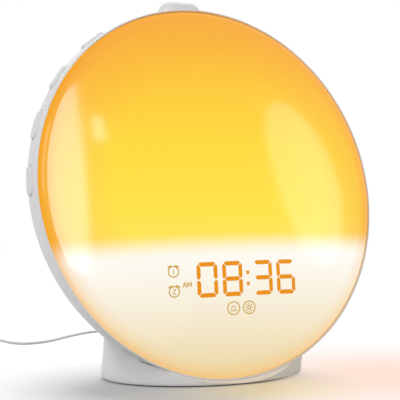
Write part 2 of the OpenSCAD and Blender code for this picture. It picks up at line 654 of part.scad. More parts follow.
module port_board() color("seagreen") difference() {
    translate([jack_x - 6, port_y0, port_z]) cube([usb_x + usb_w / 2 + 2 - jack_x + 6, port_y1 - port_y0,
        board_t]);
    for (i = [0, 1]) translate([port_posts[i][0], port_posts[i][1], 0]) cylinder(r = 1.1, h = 9);
}
port_posts = [for (y = [port_y0 + 2.5, port_y1 - 2.5]) for (x = [jack_x - 3.4, usb_x + usb_w / 2 - 1]) [x,
    y]];
module port_board_screws() color("silver") for (i = [0, 1]) translate([port_posts[i][0], port_posts[i][1],
    port_top])
    screw(0.9, 3.6, 1.8);

module power_socket() color("black") translate([jack_x, socket_y, jack_z]) rotate([90, 0, 0]) {
    difference() {
        union() {
            translate([-3.3, port_top - jack_z, 1.8]) cube([6.6, 2 * (jack_z - port_top), 9]);
            cylinder(r = jack_r + 0.4, h = 3);
        }
        translate([0, 0, -1]) cylinder(r = jack_r, h = 9);
    }
    translate([0, 0, 1]) cylinder(r = 0.8, h = 8);
}
module usb_socket() color("silver") translate([usb_x - usb_w / 2, socket_y - usb_l, port_top]) {
    difference() {
        cube([usb_w, usb_l, usb_h]);
        translate([0.4, 1.5, 0.4]) cube([usb_w - 0.8, usb_l, usb_h - 0.8]);
    }
    translate([1.2, 1, usb_h - 2.4]) cube([usb_w - 2.4, usb_l - 3, 1.8]);
}
module power_lead() color("black") sweep(smooth(power_route, 3), 1, [1, 0, 0]);
module speaker_lead() color("red") sweep(smooth(speaker_route, 3), 0.6, [0.6, 0, -1]);

/* Aerial */

module aerial_gland() color("gainsboro") at_outlet() difference() {
    union() {
        translate([0, 0, -gland_in]) cylinder(r = gland_r, h = gland_in);
        translate([0, 0, -gland_in]) cylinder(r = gland_r + 1, h = 1);
        cylinder(r1 = gland_r, r2 = wire_d / 2 + 0.5, h = gland_out);
    }
    translate([0, 0, -gland_in - 1]) cylinder(r = wire_d / 2 - 0.2, h = 3);
}
module aerial_wire() color("lightgray") sweep(smooth(wire_route, 3), wire_d / 2, [0, 0, 1]);
module aerial_coil() color("lightgray") translate([coil_c[0], coil_c[1], wire_lie - wire_d / 2])
    difference() {
    cylinder(r = coil_r + 1.5 * wire_d, h = coil_layers * wire_d);
    translate([0, 0, -1]) cylinder(r = coil_r - 1.5 * wire_d, h = 10);
}

rear_housing();
front_diffuser();
seam_gasket();
reflector_bowl();
light_divider();
led_board();
sunrise_leds();
led_board_screws();
display_module();
time_digits();
indicator_icons();
display_board();
display_screws();
main_board();
main_board_spacers();
main_board_screws();
main_board_chips();
cell_holder();
coin_cell();
speaker_frame();
speaker_magnet();
speaker_cone();
speaker_gasket();
speaker_lead();
speaker_grille();
left_key_1();
left_key_2();
left_key_3();
left_key_4();
right_key_1();
right_key_2();
right_key_3();
right_key_4();
snooze_key();
left_key_board();
left_key_switches();
right_key_board();
right_key_switches();
snooze_board();
snooze_board_screws();
snooze_switch();
base_plate();
base_screws();
grip_pad();
port_board();
port_board_screws();
power_socket();
usb_socket();
power_lead();
aerial_gland();
aerial_wire();
aerial_coil();
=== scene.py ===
"""Looks of the sunrise alarm clock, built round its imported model.

The scene is in metres, +Z up, and the lit face looks along -Y. Sizes and places are written in millimetres,
as in the part's source, and MM turns them into metres where a mesh is made.
"""

import math

import bpy
from mathutils import Matrix, Vector


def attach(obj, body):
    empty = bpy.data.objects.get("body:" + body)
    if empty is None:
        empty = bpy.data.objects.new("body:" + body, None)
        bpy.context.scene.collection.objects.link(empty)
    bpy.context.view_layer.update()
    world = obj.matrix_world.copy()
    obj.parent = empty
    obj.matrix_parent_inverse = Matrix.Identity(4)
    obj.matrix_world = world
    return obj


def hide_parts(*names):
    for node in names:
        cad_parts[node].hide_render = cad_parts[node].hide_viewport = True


MM = 0.001
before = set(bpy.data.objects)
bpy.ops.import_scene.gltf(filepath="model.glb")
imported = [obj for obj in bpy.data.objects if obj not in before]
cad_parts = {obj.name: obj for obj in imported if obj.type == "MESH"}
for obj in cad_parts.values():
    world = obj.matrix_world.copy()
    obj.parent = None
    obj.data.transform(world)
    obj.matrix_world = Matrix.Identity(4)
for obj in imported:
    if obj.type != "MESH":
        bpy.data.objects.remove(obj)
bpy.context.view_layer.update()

# ---------------------------------------------------------------------------
# Places and sizes, in millimetres, as in the part's source
# ---------------------------------------------------------------------------

# The face is a disc that leans back. Its own frame has x along it, y up it and z out of it.
LEAN = math.radians(13)
RIM_R = 87.5
RIM_GAP = 1.4
FACE_Y = -10
FACE_AT = Vector((0, FACE_Y, RIM_GAP + RIM_R * math.cos(LEAN)))
FACE = Matrix.Translation(FACE_AT) @ Matrix.Rotation(math.pi / 2 - LEAN, 4, "X")

# The round body: a straight side, a rounded shoulder and a domed back. Its middle slides up by SKEW as it
# runs back.
SKEW = math.radians(8.5)
WALL = 2.2
LIP = 0.7
LEDGE = 5.3
SIDE = 5
SHOULDER_R = 27
SHOULDER_A = math.radians(40)
SHOULDER_C = RIM_R - SHOULDER_R
BACK_R = (SHOULDER_C + SHOULDER_R * math.cos(SHOULDER_A)) / math.cos(SHOULDER_A)
BACK_C = SIDE + SHOULDER_R * math.sin(SHOULDER_A) - BACK_R * math.sin(SHOULDER_A)
GRILLE_HOLE_R = 17.4
GRILLE_H = 56.3

# The foot: an oval, FOOT_ASPECT times as wide as it is deep. FOOT_SIDE gives its side as (radius, height
# above the grip pad). From there it goes straight up, with a ring at every millimetre from FOOT_PLAIN to
# FOOT_TOP.
FOOT_ASPECT = 97.4 / 72
BASE = 0.6
WAIST_R = 35.7
FOOT_SIDE = [(36.1, 0.0), (36.4, 0.15), (36.65, 0.5), (36.75, 1.5), (36.7, 4.0), (36.4, 7.5), (36.15, 10.0),
    (35.9, 13.0), (WAIST_R, 18.0)]
FOOT_PLAIN, FOOT_TOP = 20, 65
FOOT_HOLLOW_R = 34.4
FOOT_HOLLOW_H = 14
FILLET = 9
FILLET_FROM, FILLET_FULL = 0.6, 16
FRONT_FLARE = 0.28

# The openings at the back of the foot.
SOCKET_CUT = 20
USB_AT, USB_W, USB_H = (6, 37, 9), 13.5, 6.1
POWER_AT, POWER_R = (-9, 37, 9.2), 3.15
OUTLET_AT = Vector((-19, 32.7, 9))
OUTLET_TURN = math.radians(17.5)
OUTLET_R = 2.15

# The side keys and the snooze key: H is their depth behind the rim, and RISE is what stands out of it. Their
# places on the rim are in degrees.
KEY_L, KEY_W, KEY_RISE, KEY_H = 14, 6, 0.95, 8
KEY_ROLL, KEY_SINK = 1.4, 4
KEY_FIRST, KEY_STEP = 35.2, 17
KEY_GAP = 0.3
KEY_CUT_IN, KEY_CUT = 9, 12
SNOOZE_L, SNOOZE_W, SNOOZE_RISE, SNOOZE_H = 21.5, 13, 7.3, 14
SNOOZE_ROLL, SNOOZE_SINK = 5.6, 6
SNOOZE_CUT_IN, SNOOZE_CUT = 12, 16
TOP_ANGLE = 90

# The diffuser: a shallow dome with a rolled edge, lit in two fields that meet at the divider.
DIFFUSER_R = 86.4
DIFFUSER_WALL = 2
DIFFUSER_SKIRT = 4
DOME_R = 336.5
EDGE_R = 4.1
EDGE_SINK = 2
DOME_C = -EDGE_SINK - math.sqrt((DOME_R - EDGE_R) ** 2 - (DIFFUSER_R - EDGE_R) ** 2)
DIVIDER_Y = -27
DIVIDER_BLUR = 12

# ---------------------------------------------------------------------------
# Camera
# ---------------------------------------------------------------------------

VIEW_TURN = math.radians(-28.91)
VIEW_RISE = math.radians(1.5)
VIEW_DISTANCE = 650
AIM = Vector((-5.39, -7.02, 82.25))


def set_camera():
    """A long lens that looks slightly down at the clock, from its -X side."""
    level = math.cos(VIEW_RISE)
    out = Vector((math.sin(VIEW_TURN) * level, -math.cos(VIEW_TURN) * level, math.sin(VIEW_RISE)))
    lens = bpy.data.cameras.new("camera")
    lens.lens = 126.4
    lens.sensor_width = 36
    lens.clip_start = 0.01
    lens.clip_end = 30
    camera = bpy.data.objects.new("camera", lens)
    camera.location = (AIM + out * VIEW_DISTANCE) * MM
    camera.rotation_euler = (-out).to_track_quat("-Z", "Y").to_euler()
    bpy.context.scene.collection.objects.link(camera)
    bpy.context.scene.camera = camera


set_camera()
bpy.context.scene.view_settings.view_transform = "Standard"

# ---------------------------------------------------------------------------
# Modelling helpers
# ---------------------------------------------------------------------------


def start_fresh():
    """Leaves edit mode with nothing selected."""
    if bpy.context.object and bpy.context.object.mode != "OBJECT":
        bpy.ops.object.mode_set(mode="OBJECT")
    bpy.ops.object.select_all(action="DESELECT")


def only(obj):
    """Selects one piece and nothing else."""
    start_fresh()
    obj.select_set(True)
    bpy.context.view_layer.objects.active = obj


def apply_all(obj):
    """Applies every modifier, in order."""
    only(obj)
    for modifier in list(obj.modifiers):
        bpy.ops.object.modifier_apply(modifier=modifier.name)


def in_metres(matrix):
    """The same placing for a mesh in metres, of a matrix written in millimetres."""
    scaled = matrix.copy()
    scaled.translation = matrix.translation * MM
    return scaled


def place(obj, matrix):
    """Puts a piece modelled about its own origin where it belongs, and keeps the place in its mesh."""
    only(obj)
    obj.matrix_world = matrix @ obj.matrix_world
    bpy.ops.object.transform_apply(location=True, rotation=True, scale=True)


def smooth(obj, degrees):
    only(obj)
    bpy.ops.object.shade_smooth_by_angle(angle=math.radians(degrees))


def turned(name, rings, segments=160, slide=0.0, aspect=1.0):
    """A body drawn out ring by ring from a disc. rings holds (radius, height); the middle slides along y."""
    start_fresh()
    r, z = rings[0]
    bpy.ops.mesh.primitive_circle_add(vertices=segments, radius=r * MM, fill_type="TRIFAN",
        location=(0, slide * z * MM, z * MM))
    obj = bpy.context.object
    obj.name = name
    bpy.ops.object.transform_apply(location=True, rotation=False, scale=False)
    bpy.ops.object.mode_set(mode="EDIT")
    bpy.ops.mesh.select_mode(type="EDGE")
    bpy.ops.mesh.region_to_loop()
    for next_r, next_z in rings[1:]:
        move = (0, slide * (next_z - z) * MM, (next_z - z) * MM)
        bpy.ops.mesh.extrude_region_move(TRANSFORM_OT_translate={"value": move})
        bpy.ops.transform.resize(value=(next_r / r, next_r / r, 1),
            center_override=(0, slide * next_z * MM, next_z * MM))
        r, z = next_r, next_z
    bpy.ops.mesh.edge_face_add()
    bpy.ops.mesh.select_all(action="SELECT")
    if aspect != 1:
        bpy.ops.transform.resize(value=(aspect, 1, 1), center_override=(0, 0, 0))
    bpy.ops.mesh.normals_make_consistent(inside=False)
    bpy.ops.object.mode_set(mode="OBJECT")
    return obj


def select_where(obj, kind, chosen):
    """Selects the vertices or edges for which chosen() is true, and leaves the piece in edit mode."""
    bpy.ops.object.mode_set(mode="EDIT")
    bpy.ops.mesh.select_mode(type={"vertices": "VERT", "edges": "EDGE"}[kind])
    bpy.ops.mesh.select_all(action="DESELECT")
    bpy.ops.object.mode_set(mode="OBJECT")
    for element in getattr(obj.data, kind):
        element.select = chosen(element)
    bpy.ops.object.mode_set(mode="EDIT")


def stadium(name, length, width, height, roll=0.0, steps=5, sink=0.0):
    """An oval key body along x that stands on z = -sink, with its top edge rolled over."""
    start_fresh()
    bpy.ops.mesh.primitive_cylinder_add(vertices=64, radius=width / 2 * MM, depth=(height + sink) * MM,
        location=(0, 0, (height - sink) / 2 * MM), rotation=(0, 0, math.pi / 64))
    obj = bpy.context.object
    obj.name = name
    bpy.ops.object.transform_apply(location=True, rotation=True, scale=True)
    for side in (-1, 1):
        select_where(obj, "vertices", lambda vertex: vertex.co.x * side > 0)
        bpy.ops.transform.translate(value=(side * (length - width) / 2 * MM, 0, 0))
    bpy.ops.object.mode_set(mode="OBJECT")
    if roll:
        top = height * MM - 1e-6
        select_where(obj, "edges", lambda edge: all(obj.data.vertices[i].co.z > top for i in edge.vertices))
        bpy.ops.mesh.bevel(offset=roll * MM, segments=steps, affect="EDGES", profile=0.5)
        bpy.ops.object.mode_set(mode="OBJECT")
    return obj


def cylinder(name, radius, depth, at=(0, 0, 0), turn=(0, 0, 0), vertices=160):
    """A cutter's start, with its middle at a place in millimetres."""
    start_fresh()
    bpy.ops.mesh.primitive_cylinder_add(vertices=vertices, radius=radius * MM, depth=depth * MM,
        location=[c * MM for c in at], rotation=turn)
    obj = bpy.context.object
    obj.name = name
    return obj


def copy_of(obj, name):
    other = obj.copy()
    other.data = obj.data.copy()
    other.name = name
    bpy.context.scene.collection.objects.link(other)
    return other


def joined(objects, name):
    start_fresh()
    for obj in objects:
        obj.select_set(True)
    bpy.context.view_layer.objects.active = objects[0]
    bpy.ops.object.join()
    objects[0].name = name
    return objects[0]


def cut(obj, cutter):
    """Takes the cutter's shape out of a piece."""
    modifier = obj.modifiers.new("cut", "BOOLEAN")
    modifier.operation = "DIFFERENCE"
    modifier.solver = "EXACT"
    modifier.object = cutter
    apply_all(obj)
    bpy.data.objects.remove(cutter, do_unlink=True)


def finished(obj, material, body, slot, *nodes):
    """Gives a piece its finish, hangs it on its body and lets it stand for CAD nodes."""
    obj.data.materials.clear()
    obj.data.materials.append(material)
    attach(obj, body)
    if nodes:
        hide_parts(*nodes)


# ---------------------------------------------------------------------------
# Materials
# ---------------------------------------------------------------------------


class Finish:
    """A material under construction: its nodes, and short ways to add them."""

    def __init__(self, name, color, roughness, metallic=0.0):
        self.material = bpy.data.materials.new(name)
        self.material.use_nodes = True
        self.tree = self.material.node_tree
        self.shader = self.tree.nodes["Principled BSDF"]
        self.shader.inputs["Base Color"].default_value = (*color, 1)
        self.shader.inputs["Roughness"].default_value = roughness
        self.shader.inputs["Metallic"].default_value = metallic
        self.coords = self.tree.nodes.new("ShaderNodeTexCoord").outputs["Object"]

    def node(self, kind, **settings):
        made = self.tree.nodes.new(kind)
        for key, value in settings.items():
            setattr(made, key, value)
        return made

    def link(self, a, b):
        self.tree.links.new(a, b)

    def noise(self, scale, detail=3.0):
        made = self.node("ShaderNodeTexNoise")
        made.inputs["Scale"].default_value = scale
        made.inputs["Detail"].default_value = detail
        made.inputs["Roughness"].default_value = 0.5
        self.link(self.coords, made.inputs["Vector"])
        return made.outputs["Fac"]

    def math(self, operation, a, b=0.0, clamp=False):
        made = self.node("ShaderNodeMath", operation=operation, use_clamp=clamp)
        for socket, value in zip(made.inputs, (a, b)):
            if isinstance(value, (int, float)):
                socket.default_value = value
            else:
                self.link(value, socket)
        return made.outputs[0]

    def ramp(self, factor, stops, smooth_steps=False):
        made = self.node("ShaderNodeValToRGB")
        made.color_ramp.interpolation = "EASE" if smooth_steps else "LINEAR"
        elements = made.color_ramp.elements
        while len(elements) < len(stops):
            elements.new(0.5)
        for element, (position, color) in zip(elements, stops):
            element.position = position
            element.color = (*color, 1)
        self.link(factor, made.inputs["Fac"])
        return made.outputs["Color"]

    def mix(self, factor, a, b):
        made = self.node("ShaderNodeMix", data_type="RGBA")
        self.link(factor, made.inputs[0])
        for socket, value in zip((made.inputs[6], made.inputs[7]), (a, b)):
            if isinstance(value, tuple):
                socket.default_value = (*value, 1)
            else:
                self.link(value, socket)
        return made.outputs[2]

    def mix_shaders(self, factor, a, b):
        made = self.node("ShaderNodeMixShader")
        self.link(factor, made.inputs["Fac"])
        self.link(a, made.inputs[1])
        self.link(b, made.inputs[2])
        return made.outputs[0]

    def distance(self, point):
        """How far the surface lies from a point in the piece's own metres."""
        made = self.node("ShaderNodeVectorMath", operation="DISTANCE")
        self.link(self.coords, made.inputs[0])
        made.inputs[1].default_value = point
        return made.outputs["Value"]

    def bump(self, height, strength, distance):
        made = self.node("ShaderNodeBump")
        made.inputs["Strength"].default_value = strength
        made.inputs["Distance"].default_value = distance * MM
        self.link(height, made.inputs["Height"])
        self.link(made.outputs["Normal"], self.shader.inputs["Normal"])

    def vary(self, color, spread, roughness, rough_spread, scale=60.0):
        """Slight clouding of the colour and of the gloss."""
        cloud = self.noise(scale)
        low = tuple(c * (1 - spread) for c in color)
        high = tuple(min(c * (1 + spread), 1) for c in color)
        self.link(self.ramp(cloud, [(0.3, low), (0.7, high)]), self.shader.inputs["Base Color"])
        gloss = self.math("MULTIPLY", self.noise(scale * 4), rough_spread)
        self.link(self.math("ADD", gloss, roughness - rough_spread / 2), self.shader.inputs["Roughness"])


def srgb(r, g, b):
    """A colour given as it looks on screen, 0 to 255, in the renderer's own linear values."""
    shares = (c / 255 for c in (r, g, b))
    return tuple(c / 12.92 if c <= 0.04045 else ((c + 0.055) / 1.055) ** 2.4 for c in shares)


def grey(value):
    return (value, value, value)


def moulded(name, color, roughness, grain=0.02):
    finish = Finish(name, color, roughness)
    finish.vary(color, 0.015, roughness, 0.08)
    finish.bump(finish.noise(2600, 2), 0.25, grain)
    return finish.material


def metal(name, color, roughness):
    finish = Finish(name, color, roughness, 1.0)
    finish.vary(color, 0.05, roughness, 0.12, 300)
    return finish.material


def seam_shadow():
    """Painted shade for the narrow gap round the face: a dark brown, with a faint painted glow that stands in
    for a little of its light leaking in.
    """
    material = moulded("seam_shadow", srgb(196, 176, 146), 0.7)
    shader = material.node_tree.nodes["Principled BSDF"]
    # Painted glow: the emission stands in for the face's light leaking into the gap.
    shader.inputs["Emission Color"].default_value = (*srgb(240, 196, 140), 1)
    shader.inputs["Emission Strength"].default_value = 0.3
    return material


def face_coordinates(finish):
    """The distance up the face from its middle, and the distance from its axis, in millimetres."""
    split = finish.node("ShaderNodeSeparateXYZ")
    finish.link(finish.coords, split.inputs[0])
    x, y, z = (finish.math("MULTIPLY", split.outputs[axis], 1 / MM) for axis in "XYZ")
    behind = finish.math("SUBTRACT", y, FACE_AT.y)
    above = finish.math("SUBTRACT", z, FACE_AT.z)
    up = finish.math("ADD", finish.math("MULTIPLY", behind, math.sin(LEAN)),
        finish.math("MULTIPLY", above, math.cos(LEAN)))
    squares = finish.math("ADD", finish.math("MULTIPLY", x, x), finish.math("MULTIPLY", up, up))
    return up, finish.math("SQRT", squares)


def sunrise_light(finish, rise, reach):
    """The light above the divider: yellow in the middle, amber at the top and along the rim."""
    height = finish.math("DIVIDE", rise, 2 * RIM_R)
    sunrise = finish.ramp(height, [(0.34, srgb(255, 229, 84)), (0.42, srgb(254, 226, 56)),
        (0.60, srgb(254, 217, 34)), (0.78, srgb(253, 198, 26)), (1.0, srgb(245, 168, 16))])
    rim = finish.ramp(reach, [(0.0, grey(0)), (0.62, grey(0)), (0.90, grey(0.45)), (0.965, grey(0.9)),
        (1.0, grey(1))])
    return finish.mix(rim, sunrise, srgb(247, 166, 34))


def clock_light(finish, rise, reach):
    """The white light below the divider, warm at the bottom and along the rim."""
    height = finish.math("DIVIDE", rise, RIM_R + DIVIDER_Y)
    white = finish.ramp(height, [(0.0, srgb(234, 212, 156)), (0.3, srgb(241, 226, 190)),
        (0.62, srgb(248, 241, 223)), (0.85, srgb(252, 249, 240)), (1.0, srgb(254, 252, 244))])
    rim = finish.ramp(reach, [(0.0, grey(0)), (0.90, grey(0)), (0.965, grey(0.35)), (1.0, grey(1))])
    return finish.mix(rim, white, srgb(248, 192, 112))


def glowing_diffuser():
    finish = Finish("glowing_diffuser", srgb(56, 46, 30), 0.1)
    up, radius = face_coordinates(finish)
    rise = finish.math("ADD", up, RIM_R)
    reach = finish.math("DIVIDE", radius, RIM_R)
    over_divider = finish.math("DIVIDE", finish.math("SUBTRACT", up, DIVIDER_Y), DIVIDER_BLUR)
    blur = finish.ramp(finish.math("ADD", over_divider, 0.5, clamp=True), [(0.0, grey(0)), (1.0, grey(1))],
        smooth_steps=True)
    glow = finish.mix(blur, clock_light(finish, rise, reach), sunrise_light(finish, rise, reach))
    finish.link(glow, finish.shader.inputs["Emission Color"])
    finish.shader.inputs["Emission Strength"].default_value = 0.95
    # The rolled edge is duller than the face.
    gloss = finish.ramp(reach, [(0.0, grey(1)), (0.962, grey(1)), (0.983, grey(0.1)), (1.0, grey(0))])
    finish.link(finish.math("MULTIPLY", gloss, 0.38), finish.shader.inputs["Specular IOR Level"])
    finish.bump(finish.noise(900, 2), 0.05, 0.01)
    return finish.material


def glowing(name, color, strength):
    finish = Finish(name, tuple(c * 0.15 for c in color), 0.5)
    finish.shader.inputs["Specular IOR Level"].default_value = 0.1
    low = tuple(c * 0.93 for c in color)
    clouded = finish.ramp(finish.noise(220), [(0.3, low), (0.7, color)])
    finish.link(clouded, finish.shader.inputs["Emission Color"])
    finish.shader.inputs["Emission Strength"].default_value = strength
    return finish.material


HOUSING = moulded("white_moulding", srgb(231, 231, 231), 0.42)
KEY = moulded("key_moulding", srgb(227, 227, 227), 0.38)
SEAM_PAINTED_SHADE = seam_shadow()
GRIP = moulded("grip_rubber", srgb(40, 40, 42), 0.8, 0.05)
WHITE_INSIDE = moulded("reflector_white", srgb(240, 240, 238), 0.5)
BOARD = moulded("board_green", srgb(20, 92, 52), 0.4)
BOARD_WHITE = moulded("board_white", srgb(236, 236, 230), 0.4)
BLACK = moulded("black_moulding", srgb(30, 30, 32), 0.45)
FOAM = moulded("black_foam", srgb(24, 24, 24), 0.95, 0.1)
CONE = moulded("speaker_paper", srgb(34, 34, 36), 0.85, 0.06)
FLEX = moulded("flex_board", srgb(186, 120, 44), 0.35)
LED = moulded("led_epoxy", srgb(244, 214, 120), 0.2)
STEEL = metal("plated_steel", srgb(196, 196, 200), 0.28)
BRASS = metal("turned_brass", srgb(206, 170, 96), 0.3)
LEAD = moulded("lead_insulation", srgb(26, 26, 26), 0.4)
AERIAL = moulded("aerial_insulation", srgb(206, 206, 208), 0.45)
DIFFUSER = glowing_diffuser()
DIGIT = glowing("digit_orange", srgb(234, 146, 16), 0.93)
ICON = glowing("icon_gold", srgb(208, 168, 84), 0.92)

# ---------------------------------------------------------------------------
# Housing: the round body and the foot that flares into it
# ---------------------------------------------------------------------------


def wall_radius(h):
    """Radius of the round body's outside at a depth behind the rim."""
    if h <= SIDE:
        return RIM_R
    if h <= SIDE + SHOULDER_R * math.sin(SHOULDER_A):
        return SHOULDER_C + math.sqrt(SHOULDER_R ** 2 - (h - SIDE) ** 2)
    return math.sqrt(max(BACK_R ** 2 - (h - BACK_C) ** 2, 0))


def arc_rings(center_r, center_h, radius, start, end, steps):
    """(radius, height) pairs along an arc, from start to end, skipping its first point."""
    points = []
    for i in range(1, steps + 1):
        a = start + (end - start) * i / steps
        points.append((center_r + radius * math.cos(a), -(center_h + radius * math.sin(a))))
    return points


def round_body():
    """The turned shell, from the middle of its back to the rim, over the lip and back along the inside."""
    near_pole = math.radians(89.4)
    near_side = math.radians(2)
    outer = [(BACK_R * math.cos(near_pole), -(BACK_C + BACK_R * math.sin(near_pole)))]
    outer += arc_rings(0, BACK_C, BACK_R, near_pole, SHOULDER_A, 26)
    outer += arc_rings(SHOULDER_C, SIDE, SHOULDER_R, SHOULDER_A, 0, 12)
    rim = [(RIM_R, -2.5), (RIM_R, -0.3), (RIM_R - 0.1, -0.1), (RIM_R - 0.3, 0), (RIM_R - LIP + 0.1, -0.05),
        (RIM_R - LIP, -0.2), (RIM_R - LIP, -LEDGE), (RIM_R - WALL, -LEDGE)]
    inner = arc_rings(SHOULDER_C, SIDE, SHOULDER_R - WALL, near_side, SHOULDER_A, 6)
    inner += arc_rings(0, BACK_C, BACK_R - WALL, SHOULDER_A, near_pole, 10)
    body = turned("round_body", outer + rim + inner, slide=-math.tan(SKEW))
    place(body, in_metres(FACE))
    return body


def housing_distance(point):
    """Roughly how far a point in millimetres stands outside the round body."""
    local = FACE.inverted() @ point
    h = -local.z
    middle = h * math.tan(SKEW)
    reach = math.hypot(local.x, local.y - middle)
    r = wall_radius(h)
    if h < 0:
        return math.hypot(max(reach - r, 0), h)
    if h < SIDE:
        return reach - r
    slope = wall_radius(h + 0.5) - wall_radius(h - 0.5)
    return (reach - r) / math.sqrt(1 + slope * slope)


def fillet_push(base, outwards, fillet):
    """How far a point of the foot's side moves out to lie on a fillet with the round body, by halving."""
    low, high = 0.0, fillet
    for _ in range(22):
        push = (low + high) / 2
        gap = min(max(housing_distance(base + outwards * push), 0), fillet)
        if (fillet - push) ** 2 + (fillet - gap) ** 2 > fillet ** 2:
            low = push
        else:
            high = push
    return low


def foot():
    """The oval foot. Its upper rings are pushed outwards so that they meet the round body in a fillet."""
    rings = [(r, BASE + z) for r, z in FOOT_SIDE]
    rings += [(WAIST_R, z) for z in range(FOOT_PLAIN, FOOT_TOP + 1)]
    obj = turned("foot", rings, segments=256, aspect=FOOT_ASPECT)
    edge_top, least_fillet, blend_from = 3, 0.3, 7
    for vertex in obj.data.vertices:
        base = vertex.co / MM
        if base.z < edge_top:
            continue
        outwards = Vector((base.x / FOOT_ASPECT ** 2, base.y, 0)).normalized()
        behind = -(FACE.inverted() @ base).z
        fillet = FILLET * min(max((behind - FILLET_FROM) / (FILLET_FULL - FILLET_FROM), 0), 1)
        if fillet >= least_fillet and housing_distance(base) < fillet:
            vertex.co = (base + outwards * fillet_push(base, outwards, fillet)) * MM
    # Evens out the blend above the waist.
    blend = obj.vertex_groups.new(name="blend")
    blend.add([vertex.index for vertex in obj.data.vertices if vertex.co.z > blend_from * MM], 1.0, "REPLACE")
    soften = obj.modifiers.new("soften", "SMOOTH")
    soften.factor = 0.5
    soften.iterations = 16
    soften.vertex_group = "blend"
    apply_all(obj)
    return obj


def on_rim(angle, h, r):
    """Stands a piece modelled on z out of the rim at an angle in degrees, with its length along the rim."""
    a = math.radians(angle)
    middle = Matrix.Translation(Vector((0, h * math.tan(SKEW), -h)))
    outwards = Matrix.Translation(Vector((r * math.cos(a), r * math.sin(a), 0)))
    stand = Matrix(((-math.sin(a), 0, math.cos(a), 0), (math.cos(a), 0, math.sin(a), 0), (0, 1, 0, 0),
        (0, 0, 0, 1)))
    return in_metres(FACE @ middle @ outwards @ stand)


key_angles = {f"left_key_{i + 1}": TOP_ANGLE + KEY_FIRST + i * KEY_STEP for i in range(4)}
key_angles.update({f"right_key_{i + 1}": TOP_ANGLE - KEY_FIRST - i * KEY_STEP for i in range(4)})


def body_openings():
    """The keys' windows, the snooze key's window and the hole behind the speaker grille, as one cutter."""
    first = stadium("window", KEY_L + 2 * KEY_GAP, KEY_W + 2 * KEY_GAP, KEY_CUT)
    openings = []
    for name, angle in key_angles.items():
        openings.append(copy_of(first, name + "_window"))
        place(openings[-1], on_rim(angle, KEY_H, RIM_R - KEY_CUT_IN))
    bpy.data.objects.remove(first, do_unlink=True)
    openings.append(stadium("snooze_window", SNOOZE_L + 2 * KEY_GAP, SNOOZE_W + 2 * KEY_GAP, SNOOZE_CUT))
    place(openings[-1], on_rim(TOP_ANGLE, SNOOZE_H, RIM_R - SNOOZE_CUT_IN))
    near, far = 53, 67
    grille_at = (0, GRILLE_H * math.tan(SKEW), -(near + far) / 2)
    openings.append(cylinder("grille_hole", GRILLE_HOLE_R, far - near, grille_at, vertices=96))
    place(openings[-1], in_metres(FACE))
    return joined(openings, "windows")


def socket_openings():
    """The charging socket's slot, the power socket's hole and the aerial gland's hole, as one cutter."""
    start_fresh()
    bpy.ops.mesh.primitive_cube_add(size=1, location=[c * MM for c in USB_AT])
    slot = bpy.context.object
    slot.scale = (USB_W * MM, SOCKET_CUT * MM, USB_H * MM)
    hole = cylinder("power_hole", POWER_R, SOCKET_CUT, POWER_AT, (math.pi / 2, 0, 0), 48)
    outlet = cylinder("outlet_hole", OUTLET_R, SOCKET_CUT, OUTLET_AT, (math.pi / 2, 0, OUTLET_TURN), 32)
    for opening in (slot, hole, outlet):
        place(opening, Matrix.Identity(4))
    return joined([slot, hole, outlet], "socket_openings")


def front_space():
    """The room in front of the face, which widens so that the foot's front top slopes away from the lip."""
    depth, behind, clear = 120, 0.3, 0.02
    start_fresh()
    bpy.ops.mesh.primitive_cone_add(vertices=320, radius1=(RIM_R + clear) * MM,
        radius2=(RIM_R + clear + depth * FRONT_FLARE) * MM, depth=depth * MM,
        location=(0, 0, (depth / 2 - behind) * MM))
    space = bpy.context.object
    place(space, in_metres(FACE))
    return space


def lip_space():
    """The room inside the lip, which keeps the foot out of the seam."""
    depth, before = 8, 1
    space = cylinder("lip_space", RIM_R - LIP / 2, depth, (0, 0, before - depth / 2))
    place(space, in_metres(FACE))
    return space


def foot_hollow():
    """The foot's inside, except for the closed floor under the front of the round body."""
    rings = [(FOOT_HOLLOW_R, -1), (FOOT_HOLLOW_R, BASE + FOOT_HOLLOW_H)]
    hollow = turned("hollow", rings, aspect=FOOT_ASPECT)
    before, behind = 52, 8
    closed_front = cylinder("closed_front", RIM_R + WALL, before + behind, (0, 0, (before - behind) / 2))
    place(closed_front, in_metres(FACE))
    cut(hollow, closed_front)
    return hollow


def rear_housing():
    body_mesh = round_body()
    cut(body_mesh, body_openings())
    foot_mesh = foot()
    for opening in (foot_hollow(), socket_openings(), front_space(), lip_space()):
        cut(foot_mesh, opening)
    housing = joined([body_mesh, foot_mesh], "rear_housing_shell")
    smooth(housing, 40)
    finished(housing, HOUSING, "clock", "housing_white", "rear_housing")
    # Painted shade: the lip's inner edge, where the seam's shade falls, gets the seam's painted shade colour
    # and faint painted glow.
    housing.data.materials.append(SEAM_PAINTED_SHADE)
    for face in housing.data.polygons:
        at = FACE.inverted() @ (face.center / MM)
        if -LEDGE < at.z < 0.1 and abs(math.hypot(at.x, at.y) - (RIM_R - LIP)) < 0.1:
            face.material_index = 1


rear_housing()

# ---------------------------------------------------------------------------
# Keys
# ---------------------------------------------------------------------------


def side_keys():
    key = stadium("key", KEY_L, KEY_W, KEY_RISE, roll=KEY_ROLL, steps=6, sink=KEY_SINK)
    for name, angle in key_angles.items():
        cap = copy_of(key, name + "_cap")
        place(cap, on_rim(angle, KEY_H, wall_radius(KEY_H)))
        smooth(cap, 50)
        finished(cap, KEY, name + "_body", "key_white", name)
    bpy.data.objects.remove(key, do_unlink=True)


